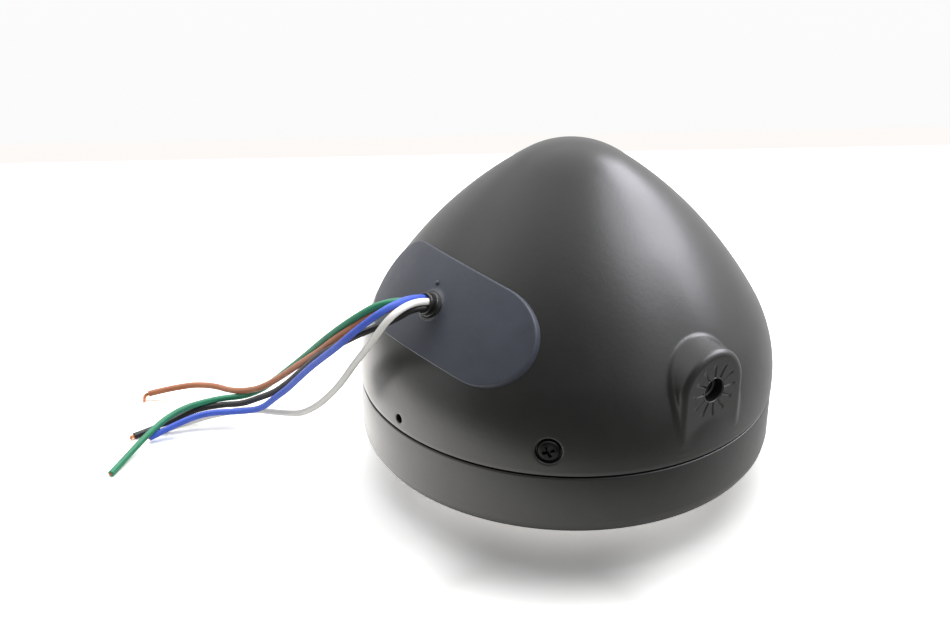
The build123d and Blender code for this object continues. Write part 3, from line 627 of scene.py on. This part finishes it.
def add_screw_seat(bm, angle):
    """A sunk round seat for a rim screw, with a rolled lip."""
    port = Port(bm, angle, SCREW_LEVEL)
    port.open(3 * STEP_TURN, EDGE_TOP, SEAM + 17.5, True)
    port.refine()
    for radius, share, sunk in SEAT_LIP:
        port.step(on_skin(shell_gap, sunk), radius, share)
    for radius, depth in SEAT_FLOOR:
        port.step(at_depth(depth), radius)
    bmesh.ops.edgeloop_fill(bm, edges=port.edges)


def add_drain(bm):
    """A small drain hole right through the wall."""
    skins = []
    for outer in (True, False):
        port = Port(bm, -math.pi / 2, DRAIN_LEVEL)
        port.open(2 * STEP_TURN, SEAM + 1.9, SEAM + 8.4, outer)
        port.refine()
        gap = shell_gap if outer else (lambda p: shell_gap(p) + WALL)
        sign = 1 if outer else -1
        for radius, share, sunk in DRAIN_LIP:
            port.step(on_skin(gap, sign * sunk), radius, share)
        skins += port.edges
    bmesh.ops.bridge_loops(bm, edges=skins)


def make_bucket():
    """The shell with its rounded lower edge, two bosses, two screw seats and the drain hole."""
    outside = shell_profile(0, SEAM + EDGE_ROUND)
    inside = shell_profile(WALL, SEAM + EDGE_ROUND)
    cut = EDGE_ROUND * 0.29
    inner = BUCKET_RADIUS - WALL
    lip = [(BUCKET_RADIUS - cut, SEAM + cut), (BUCKET_RADIUS - EDGE_ROUND, SEAM),
           (inner + EDGE_ROUND, SEAM), (inner + cut, SEAM + cut)]
    bm = spun(outside[::-1] + lip + inside, AROUND)
    add_boss(bm, 0.0)
    add_boss(bm, math.pi)
    for angle in SCREW_ANGLES:
        add_screw_seat(bm, angle)
    add_drain(bm)
    finish_mesh(bm, "bucket_shell", black_paint, "black_paint", "bucket")


make_bucket()


# Rim: the corners of its section as (radius, height), and the rounding of some of them by number
RIM_CORNERS = [
    (69.5, 13.5), (81.85, 13.5), (81.85, 39.65), (79.4, 39.65), (79.4, 43.0), (78.2, 43.0), (78.2, 38.5),
    (80.2, 38.5), (80.2, 14.7), (69.5, 14.7),
]
RIM_ROUNDS = {0: 0.4, 1: 7.5, 2: 0.75, 4: 0.3, 5: 0.3, 8: 6.3, 9: 0.4}


def make_rim():
    """A pressed ring with a rolled front corner and a skirt inside the bucket's edge."""
    bm = spun(RIM_CORNERS, AROUND, closed=True, rounds=RIM_ROUNDS)
    finish_mesh(bm, "rim_ring", black_paint, "black_paint", "rim")


make_rim()


def ring_tube(bm, rings, closed):
    """Extrudes a ring of points through the next ones, and joins the last to the first or fills the ends."""
    verts = [bm.verts.new(place) for place in rings[0]]
    first = [bm.edges.new((a, b)) for a, b in zip(verts, verts[1:] + verts[:1])]
    edges = first
    for ring in rings[1:]:
        order = {tuple(v.co): k for k, v in enumerate(verts)}
        made = bmesh.ops.extrude_edge_only(bm, edges=edges)["geom"]
        verts = [v for v in made if isinstance(v, bmesh.types.BMVert)]
        verts.sort(key=lambda v: order[tuple(v.co)])
        members = set(verts)
        edges = [e for e in made if isinstance(e, bmesh.types.BMEdge) and members.issuperset(e.verts)]
        for vert, place in zip(verts, ring):
            vert.co = place
    if closed:
        bmesh.ops.bridge_loops(bm, edges=first + edges)
    else:
        bmesh.ops.edgeloop_fill(bm, edges=first)
        bmesh.ops.edgeloop_fill(bm, edges=edges)


# Grommet: an oblong plate that follows the bucket, with its nipple, plug and inner flange
GROMMET_CENTRE = np.array((0, -64.5259, 87.0022))
GROMMET_SLOPE = math.radians(36.162)
GROMMET_HALF = (44.0, 18.6)
GROMMET_PLATE = 2.2
GROMMET_EDGE = 0.55
GROMMET_SEARCH = (-40.0, 20.0)
GROMMET_POINTS = 144
# The plug's and the inner flange's rings: how far in from the outline, and how far off the bucket's skin
PLUG_RINGS = ((2.0, -3.6), (2.0, -2.04), (4.0, -2.04), (4.0, -0.04))
FLANGE_FACE = -3.6
PLATE_SHARES = (0.985, 0.96, 0.92, 0.86, 0.78, 0.68, 0.57, 0.46, 0.36, 0.27, 0.19, 0.12, 0.06, 0.02)
FLANGE_SHARES = (0.0, 0.1, 0.25, 0.45, 0.65, 0.85)
NIPPLE_LIFT = math.radians(28)
NIPPLE_LENGTH = 6.5
NIPPLE_RADIUS = 4.2
NIPPLE_BORE = 3.45
NIPPLE_TIP = 0.7
# How far from the nipple's axis the faces get the darker rubber of painted shade
NIPPLE_SHADE_REACH = 5.75
# The nipple's foot as radius and height over the plate: a low rounded collar, then the round neck
NIPPLE_FOOT = (
    (7.2, 0), (6.6, 0.03), (6.2, 0.12), (5.9, 0.3), (5.72, 0.55), (5.62, 0.82), (5.5, 0.98), (5.3, 1.08),
    (5.05, 1.1), (4.75, 1.14), (4.5, 1.26), (4.3, 1.5), (4.22, 1.8), (4.2, 2.2),
)
# The mould's pip: its place on the plate, and its rings as radius and height
PIP_PLACE = (-3.0, 7.8)
PIP_RINGS = ((1.0, 0), (0.98, 0.35), (0.9, 0.6), (0.74, 0.82), (0.5, 0.98), (0.22, 1.06))
PIP_POINTS = 24


def oblong(inset):
    """The grommet's outline, moved inward: points (across, up) evenly spaced from its right end."""
    half = GROMMET_HALF[1] - inset
    flat = GROMMET_HALF[0] - GROMMET_HALF[1]
    angle = np.linspace(0, TURN, 721)
    end = flat * np.sign(np.round(np.cos(angle), 6))
    fine = np.stack([half * np.cos(angle) + end, half * np.sin(angle)], 1)
    along = np.concatenate([[0], np.cumsum(np.linalg.norm(np.diff(fine, axis=0), axis=1))])
    at = along[-1] * np.arange(GROMMET_POINTS) / GROMMET_POINTS
    return np.stack([np.interp(at, along, fine[:, 0]), np.interp(at, along, fine[:, 1])], 1)


def disc(radius):
    """A circle of points (across, up) from its right end."""
    angle = TURN * np.arange(GROMMET_POINTS) / GROMMET_POINTS
    return radius * np.stack([np.cos(angle), np.sin(angle)], 1)


def grommet_axes(lift):
    """The outward and the upward direction at this lift."""
    return np.array((0, -math.cos(lift), math.sin(lift))), np.array((0, math.sin(lift), math.cos(lift)))


def over_bucket(points, lift, offset, raised=0.0):
    """Points (across, up) moved along the outward direction until they lie this far off the bucket."""
    out, up = grommet_axes(lift)
    base = GROMMET_CENTRE + points[:, :1] * np.array((1, 0, 0)) + points[:, 1:] * up
    low, high = (np.full(len(points), end) for end in GROMMET_SEARCH)
    for _ in range(HALVINGS):
        middle = (low + high) / 2
        outside = shell_gap(base + middle[:, None] * out) > offset
        high = np.where(outside, middle, high)
        low = np.where(outside, low, middle)
    return base + (low[:, None] + raised) * out


def along_nipple(points, height):
    """Points (across, up) at this height along the nipple's axis."""
    out, up = grommet_axes(NIPPLE_LIFT)
    return GROMMET_CENTRE + points[:, :1] * np.array((1, 0, 0)) + points[:, 1:] * up + height * out


def rings_between(inner, outer, shares, offset):
    """Rings between a circle round the nipple and an outline of the plate."""
    rings = []
    for share in shares:
        lift = NIPPLE_LIFT + (GROMMET_SLOPE - NIPPLE_LIFT) * share
        rings.append(over_bucket(inner + (outer - inner) * share, lift, offset))
    return rings


def make_grommet():
    """The grommet as one tube of rings: the plate's edge, the nipple, down its bore, and the flange."""
    plain = GROMMET_SLOPE
    side = GROMMET_PLATE - GROMMET_EDGE
    rings = [over_bucket(oblong(0), plain, -0.04), over_bucket(oblong(0), plain, side)]
    for turn in (18, 36, 54, 72, 90):
        a = math.radians(turn)
        inset, rise = GROMMET_EDGE * (1 - math.cos(a)), GROMMET_EDGE * math.sin(a)
        rings.append(over_bucket(oblong(inset), plain, side + rise))
    rings += rings_between(disc(7.6), oblong(GROMMET_EDGE), PLATE_SHARES, GROMMET_PLATE)
    for radius, height in NIPPLE_FOOT:
        rings.append(over_bucket(disc(radius), NIPPLE_LIFT, GROMMET_PLATE, height))
    for turn in (0, 22, 45, 67, 90):
        a = math.radians(turn)
        radius = NIPPLE_RADIUS - NIPPLE_TIP * (1 - math.cos(a))
        rings.append(along_nipple(disc(radius), NIPPLE_LENGTH - NIPPLE_TIP * (1 - math.sin(a))))
    bore = disc(NIPPLE_BORE)
    rings.append(along_nipple(bore, NIPPLE_LENGTH - 0.15))
    rings.append(along_nipple(bore, 2.0))
    rings.append(over_bucket(bore, NIPPLE_LIFT, FLANGE_FACE))
    rings += rings_between(disc(5.0), oblong(2.0), FLANGE_SHARES, FLANGE_FACE)
    for inset, offset in PLUG_RINGS:
        rings.append(over_bucket(oblong(inset), plain, offset))
    bm = bmesh.new()
    ring_tube(bm, rings, True)
    out, up = grommet_axes(plain)
    foot = over_bucket(np.array([PIP_PLACE]), plain, GROMMET_PLATE - 0.2)[0]
    angle = TURN * np.arange(PIP_POINTS) / PIP_POINTS
    circle = np.cos(angle)[:, None] * np.array((1, 0, 0)) + np.sin(angle)[:, None] * up
    ring_tube(bm, [foot + height * out + radius * circle for radius, height in PIP_RINGS], False)
    plate = finish_mesh(bm, "grommet_plate", grommet_rubber, "black_rubber", "grommet", sharp_deg=50)
    # The nipple and its collar get a darker rubber with less roughness: the darker colour is painted shade,
    # as they face away from the lamps
    plate.data.materials.append(shaded_nipple_rubber)
    nipple_out, nipple_up = grommet_axes(NIPPLE_LIFT)
    for face in plate.data.polygons:
        off = np.array(face.center) / MM - GROMMET_CENTRE
        if math.hypot(off[0], off @ nipple_up) < NIPPLE_SHADE_REACH and off @ nipple_out > GROMMET_PLATE + 0.2:
            face.material_index = 1


make_grommet()


# Rim screws: a shank and a pan head as radius and height over the seat, and the cross recess
SCREW_PROFILE = (
    (1.95, -9.0), (1.95, -0.02), (4.15, -0.02), (4.2, 0.1), (4.2, 1.0), (4.14, 1.3), (3.95, 1.62),
    (3.6, 1.87), (3.1, 2.02), (2.75, 2.07),
)
SCREW_TWISTS = (0.6, 0.35)
CROSS_LENGTH = 2.3
CROSS_HALF = 0.58
# The recess's rings: how much wider than the cross, and their height
CROSS_RINGS = ((0.12, 2.1), (0.04, 2.05), (0.0, 1.95), (-0.12, 1.0))


def cross_reach(angle, length, half):
    """Radius of a cross by angle: its arms' ends or sides."""
    off = np.abs((angle + TURN / 8) % (TURN / 4) - TURN / 8)
    return np.minimum(length / np.cos(off), half / np.maximum(np.sin(off), 1e-6))


def cross_angles(length, half):
    """Angles round a cross that fall on its corners."""
    end = math.atan2(half, length)
    quarter = [-end, 0, end] + [end + (TURN / 8 - end) * k / 4 for k in range(1, 5)]
    quarter += [TURN / 4 - end - (TURN / 8 - end) * k / 4 for k in range(3, 0, -1)]
    return np.concatenate([np.array(quarter) + TURN / 4 * k for k in range(4)])


def make_screws():
    """Both screws, each turned a little differently, as they come to rest when tightened."""
    angle = cross_angles(CROSS_LENGTH, CROSS_HALF)
    rings = [(np.full(len(angle), radius), height) for radius, height in SCREW_PROFILE]
    for grow, height in CROSS_RINGS:
        rings.append((cross_reach(angle, CROSS_LENGTH + grow, CROSS_HALF + grow), height))
    bm = bmesh.new()
    for turn, twist in zip(SCREW_ANGLES, SCREW_TWISTS):
        places = []
        for radius, height in rings:
            across, up = radius * np.cos(angle + twist), radius * np.sin(angle + twist)
            out = SCREW_SEAT + height
            x = out * math.cos(turn) - across * math.sin(turn)
            y = out * math.sin(turn) + across * math.cos(turn)
            places.append(np.stack([x, y, up + SCREW_LEVEL], 1))
        ring_tube(bm, places, False)
    finish_mesh(bm, "rim_screw_heads", screw_black, "black_screw", "rim_screws")


make_screws()


# Mount bushes: turned inserts with an M8 thread, heights from the boss's face
THREAD_PITCH = 1.25
THREAD_ROOT = 4.0
THREAD_CREST = 3.42
THREAD_START = -4.4
THREAD_END = -16.4
BUSH_BODY = [(9.2, -16.6), (9.2, -15.0), (6.8, -15.0), (6.8, -4.0)]
BUSH_POINTS = 64


def make_bush(side, name):
    """A bush with its threaded bore and its inner flange, on the side that +1 or -1 says."""
    threads = []
    top = THREAD_START
    while top - THREAD_PITCH > THREAD_END:
        threads += [(THREAD_CREST, top), (THREAD_CREST, top - 0.16)]
        threads += [(THREAD_ROOT, top - 0.62), (THREAD_ROOT, top - 0.78)]
        top -= THREAD_PITCH
    profile = [(4.1, -4.0)] + threads + [(THREAD_CREST, -16.2), (3.9, -16.6)] + BUSH_BODY
    bm = spun(profile, BUSH_POINTS, closed=True, rounds={len(profile) - 4: 0.3, len(profile) - 1: 0.3})
    bmesh.ops.translate(bm, verts=bm.verts, vec=(0, 0, BOSS_FACE))
    bmesh.ops.rotate(bm, verts=bm.verts, cent=(0, 0, 0), matrix=Matrix.Rotation(side * math.pi / 2, 3, "Y"))
    bmesh.ops.translate(bm, verts=bm.verts, vec=(0, 0, BOSS_LEVEL))
    finish_mesh(bm, "threaded_" + name, bush_steel, "zinc_steel", name, sharp_deg=25)


make_bush(1, "mount_bush_right")
make_bush(-1, "mount_bush_left")


# CAD nodes that keep their own shape and get a finish
NODE_FINISH = {
    "rim_hook": zinc_steel, "rim_nuts": zinc_steel, "rim_bracket_left": zinc_steel,
    "rim_bracket_right": zinc_steel,
    "lens": lens_glass, "lens_seal": seal_rubber, "reflector": bright_reflector,
    "unit_clips": zinc_steel, "bulb_glass": bulb_glass, "bulb_base": base_steel,
    "bulb_insulator": insulator_plastic, "bulb_terminals": terminal_brass, "bulb_filaments": tungsten_wire,
    "bulb_spring": zinc_steel, "bulb_boot": boot_rubber, "bulb_plug": plug_plastic,
    "parking_holder": plug_plastic, "parking_bulb": bulb_glass, "inner_leads": lead_grey,
}
for name, finish in NODE_FINISH.items():
    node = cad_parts[name]
    node.data.materials.clear()
    node.data.materials.append(finish)


# Stage: a white floor, a white surround that is dim behind the camera, and soft lamps. Strengths of the
# light all round, of what shines in gloss from behind, from the front and from above, of the floor's shine
# at the left front, and of the lit patch under the lens
AMBIENT = 0.52
SHINE = 1.25
FRONT_DIM = 0.27
OVERHEAD = 1.0
GLOW_STRENGTH = 3.1
UNDER_GLOW = 0.52
# Directions along the floor: towards the camera, across it, to where painted shade greys the floor in
# reflections, and to the wall
FRONT = (0.707, -0.707, 0.0)
SIDE = (0.707, 0.707, 0.0)
REFLECTED_SHADE_WAY = (0.94, -0.34, 0.0)
FAR_EDGE = (-0.832, 0.555, 0.0)
FLOOR_GLOW = (-0.15, -0.14, 0.0)
FAR_EDGE_AT = 0.3326
PAPER = "#f6f6f5"
# How bright the paper is to the camera, in the lamp's shadow and away from it: the brighter paper away from
# it is painted light, which washes the shadow out except near the lamp's foot along the camera's line
FLOOR_GAIN = (1.08, 2.02)
# Smooth passages: what they follow, where they start and end, in metres on the floor, and their values there
FLOOR_FADES = {
    "wall": ("back", FAR_EDGE_AT, FAR_EDGE_AT + 0.003, 0.0, 1.0),
    "wall_tone": ("back", 0.36, 0.372, 0.0, 1.0),
    # Where the painted light on the paper comes in, across the camera's line and out from the lamp
    "clear_aside": ("aside", 0.015, 0.052, 0.0, 1.0),
    "clear_out": ("out", 0.08, 0.125, 0.0, 1.0),
    # Painted shade: grey paper in front of the lamp, seen only in reflections and bounce light
    "reflected_shade": ("before", 0.08, 0.2, 0.0, 1.0),
    "glow": ("away", 0.05, 0.34, GLOW_STRENGTH, 0.0),
    "glow_out": ("out", 0.07, 0.1, 0.0, 1.0),
    "under": ("out", 0.05, 0.084, UNDER_GLOW, 0.0),
    "far": ("out", 0.3, 0.7, 0.0, 1.0),
}
WORLD_FADES = {
    "overhead": ("high", 0.35, 0.6, 0.0, OVERHEAD),
    "behind": ("front", -0.05, 0.5, 1.0, 0.0),
    "shine": ("front", 0.35, 0.8, SHINE, FRONT_DIM),
}


def fade_all(tree, measures, table):
    """The passages of a table by name, each along one of the measures."""
    fades = {}
    for name, (measure, start, end, first, last) in table.items():
        sockets = {"Value": measures[measure], "From Min": start, "From Max": end,
                   "To Min": first, "To Max": last}
        fades[name] = add(tree, "MapRange", sockets, interpolation_type="SMOOTHSTEP").outputs["Result"]
    return fades


def paper_tone(tree, path, fades):
    """Paper, painted grey as shade in front of the lamp, but not to the camera. The camera sees brighter
    paper, and black where the wall glows.
    """
    paper = linear(PAPER)
    # Painted light: the camera sees the paper brighter away from the lamp's foot and the camera's line
    # through it, which narrows the lamp's shadow
    clear = add(tree, "Math", {0: fades["clear_aside"], 1: fades["clear_out"]}, operation="MAXIMUM")
    open_floor = add(tree, "Mix", {"Factor": clear.outputs[0]}, data_type="RGBA")
    for socket, gain in zip("AB", FLOOR_GAIN):
        open_floor.inputs[socket].default_value = [v * gain for v in paper[:3]] + [1]
    seen = add(tree, "Mix", {"Factor": fades["wall"], "A": open_floor.outputs["Result"]}, data_type="RGBA")
    seen.inputs["B"].default_value = (0, 0, 0, 1)
    # Painted shade: all but the camera see the paper grey in front of the lamp, where the floor that the
    # paint reflects lies in shadow
    lit = add(tree, "Mix", {"Factor": fades["reflected_shade"]}, data_type="RGBA")
    lit.inputs["A"].default_value = paper
    lit.inputs["B"].default_value = linear("#a0a09e")
    tone = add(tree, "Mix", {"Factor": path.outputs["Is Camera Ray"]}, data_type="RGBA")
    tree.links.new(lit.outputs["Result"], tone.inputs["A"])
    tree.links.new(seen.outputs["Result"], tone.inputs["B"])
    return tone.outputs["Result"]


def paper_glow(tree, path, fades):
    """What shines in gloss from the left front. The camera sees the patch under the lens and the wall."""
    glow = add(tree, "Math", {0: fades["glow"], 1: fades["glow_out"]}, operation="MULTIPLY")
    glow = add(tree, "Math", {0: glow.outputs[0], 1: path.outputs["Is Glossy Ray"]}, operation="MULTIPLY")
    far = add(tree, "Math", {0: fades["far"], 1: fades["wall"]}, operation="MAXIMUM")
    seen = add(tree, "Math", {0: fades["under"], 1: far.outputs[0]}, operation="ADD")
    seen = add(tree, "Math", {0: seen.outputs[0], 1: path.outputs["Is Camera Ray"]}, operation="MULTIPLY")
    return add(tree, "Math", {0: glow.outputs[0], 1: seen.outputs[0]}, operation="ADD").outputs[0]


def make_floor():
    """A sheet of white paper, white to the camera. Its left front shines in the paint, as under a light that
    stands there, and light that comes through the lens brightens it under the lamp. Past a far edge it is a
    pale wall."""
    bm = bmesh.new()
    bmesh.ops.create_grid(bm, x_segments=1, y_segments=1, size=6)
    mesh = bpy.data.meshes.new("floor")
    bm.to_mesh(mesh)
    bm.free()
    floor = bpy.data.objects.new("floor", mesh)
    scene.collection.objects.link(floor)
    material, tree, shader, place = new_material("white_paper", Roughness=0.9, Specular_IOR_Level=0.1)
    path = add(tree, "LightPath")
    measures = {}
    for measure, operation, other in (
            ("back", "DOT_PRODUCT", FAR_EDGE), ("aside", "DOT_PRODUCT", SIDE),
            ("before", "DOT_PRODUCT", REFLECTED_SHADE_WAY), ("away", "DISTANCE", FLOOR_GLOW), ("out", "LENGTH", (0, 0, 0))):
        node = add(tree, "VectorMath", {0: place, 1: other}, operation=operation)
        measures[measure] = node.outputs["Value"]
    measures["aside"] = add(tree, "Math", {0: measures["aside"]}, operation="ABSOLUTE").outputs[0]
    fades = fade_all(tree, measures, FLOOR_FADES)
    tree.links.new(paper_tone(tree, path, fades), shader.inputs["Base Color"])
    tree.links.new(paper_glow(tree, path, fades), shader.inputs["Emission Strength"])
    pale = add(tree, "Mix", {"Factor": fades["wall_tone"]}, data_type="RGBA")
    pale.inputs["A"].default_value = linear("#fbf7f4")
    pale.inputs["B"].default_value = linear("#f8f8f8")
    tree.links.new(pale.outputs["Result"], shader.inputs["Emission Color"])
    material.cycles.emission_sampling = "NONE"
    mesh.materials.append(material)
    return floor


def make_world():
    """White to the camera. What shines in the object fades towards the side where the camera stands."""
    world = bpy.data.worlds.new("studio")
    world.use_nodes = True
    scene.world = world
    tree = world.node_tree
    tree.nodes.clear()
    path = add(tree, "LightPath")
    way = add(tree, "TexCoord").outputs["Generated"]
    front = add(tree, "VectorMath", {0: way, 1: FRONT}, operation="DOT_PRODUCT").outputs["Value"]
    high = add(tree, "SeparateXYZ", {0: way}).outputs["Z"]
    fades = fade_all(tree, {"front": front, "high": high}, WORLD_FADES)
    overhead = add(tree, "Math", {0: fades["overhead"], 1: fades["behind"]}, operation="MULTIPLY")
    shine = add(tree, "Math", {0: fades["shine"], 1: overhead.outputs[0]}, operation="ADD").outputs[0]
    sockets = {"Value": path.outputs["Is Glossy Ray"], "To Min": AMBIENT, "To Max": shine}
    lit = add(tree, "MapRange", sockets).outputs["Result"]
    sockets = {0: path.outputs["Is Camera Ray"], 1: path.outputs["Is Transmission Ray"]}
    seen = add(tree, "Math", sockets, operation="ADD", use_clamp=True).outputs[0]
    strength = add(tree, "MapRange", {"Value": seen, "To Min": lit, "To Max": 1.0}).outputs["Result"]
    background = add(tree, "Background", {"Color": (1, 1, 1, 1), "Strength": strength})
    add(tree, "OutputWorld", {"Surface": background.outputs[0]})


def add_lamp(name, place, target, size, power, colour="#ffffff"):
    """A soft lamp that faces a point."""
    data = bpy.data.lights.new(name, "AREA")
    data.color = linear(colour)[:3]
    data.shape = "RECTANGLE"
    data.size, data.size_y = size
    data.energy = power
    lamp = bpy.data.objects.new(name, data)
    scene.collection.objects.link(lamp)
    lamp.location = place
    lamp.rotation_euler = (Vector(target) - Vector(place)).to_track_quat("-Z", "Y").to_euler()
    return lamp


def keep_off(lamp, things):
    """Leaves things out of the light of a lamp or of the floor's glow, so that the floor gets no long shadow
    and the wires don't burn out."""
    spared = bpy.data.collections.new(lamp.name + "_spared")
    for thing in things:
        spared.objects.link(thing)
    for member in spared.collection_objects:
        member.light_linking.link_state = "EXCLUDE"
    lamp.light_linking.receiver_collection = spared


floor = make_floor()
make_world()
COOL_WHITE = "#f6f5ff"
LAMP_MIDDLE = (0, 0, 0.09)
key = add_lamp("softbox_right", (0.155, 0.876, 0.737), LAMP_MIDDLE, (0.9, 0.6), 15.4, COOL_WHITE)
wires = [bpy.data.objects["insulation_" + colour] for colour in WIRE_ROUTES]
keep_off(key, [floor] + [wire for wire in wires if wire.name != "insulation_white"])
keep_off(floor, wires)
high = add_lamp("softbox_high", (0.503, 0.453, 0.957), LAMP_MIDDLE, (0.55, 0.55), 4.8, COOL_WHITE)
keep_off(high, [floor])
top = add_lamp("softbox_top", (-0.45, 0.35, 1.4), (0, 0, 0.05), (2.6, 1.0), 21)
keep_off(top, [bpy.data.objects["bucket_shell"], bpy.data.objects["rim_ring"]])
